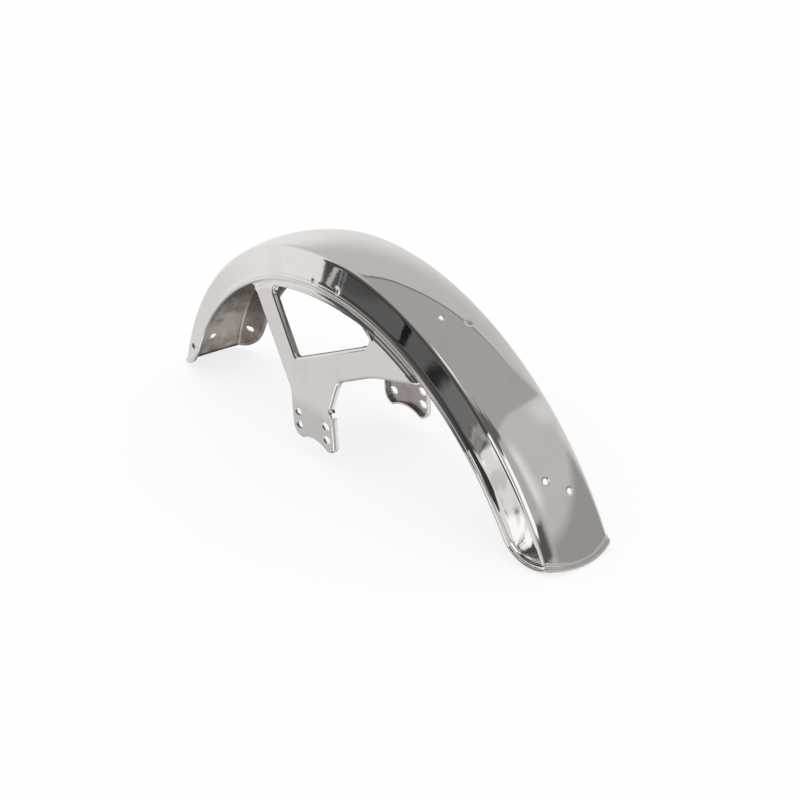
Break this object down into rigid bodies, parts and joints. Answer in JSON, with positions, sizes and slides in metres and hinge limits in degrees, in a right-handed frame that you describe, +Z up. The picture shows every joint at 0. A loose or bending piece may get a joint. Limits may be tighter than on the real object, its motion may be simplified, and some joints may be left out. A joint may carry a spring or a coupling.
{
  "type": "motorcycle front mudguard",
  "caption": "Chromed steel front mudguard: domed crown, flared skirts with a rolled edge, and flanged fork brackets with slotted tabs.",
  "frame": {"origin": "floor level under the middle of the guard's length and width, as it stands on its two ends", "axes": "+X to the front end, +Y to the vehicle's left, +Z up along the fork legs"},
  "size_m": [0.6306, 0.1188, 0.2086],
  "materials": {
    "blade_chrome": "bright chrome plate",
    "bracket_chrome": "bright chrome plate"
  },
  "bodies": {
    "root": {"guard_blade": "blade_chrome", "bracket_right": "bracket_chrome", "bracket_left": "bracket_chrome"}
  },
  "joints": []
}
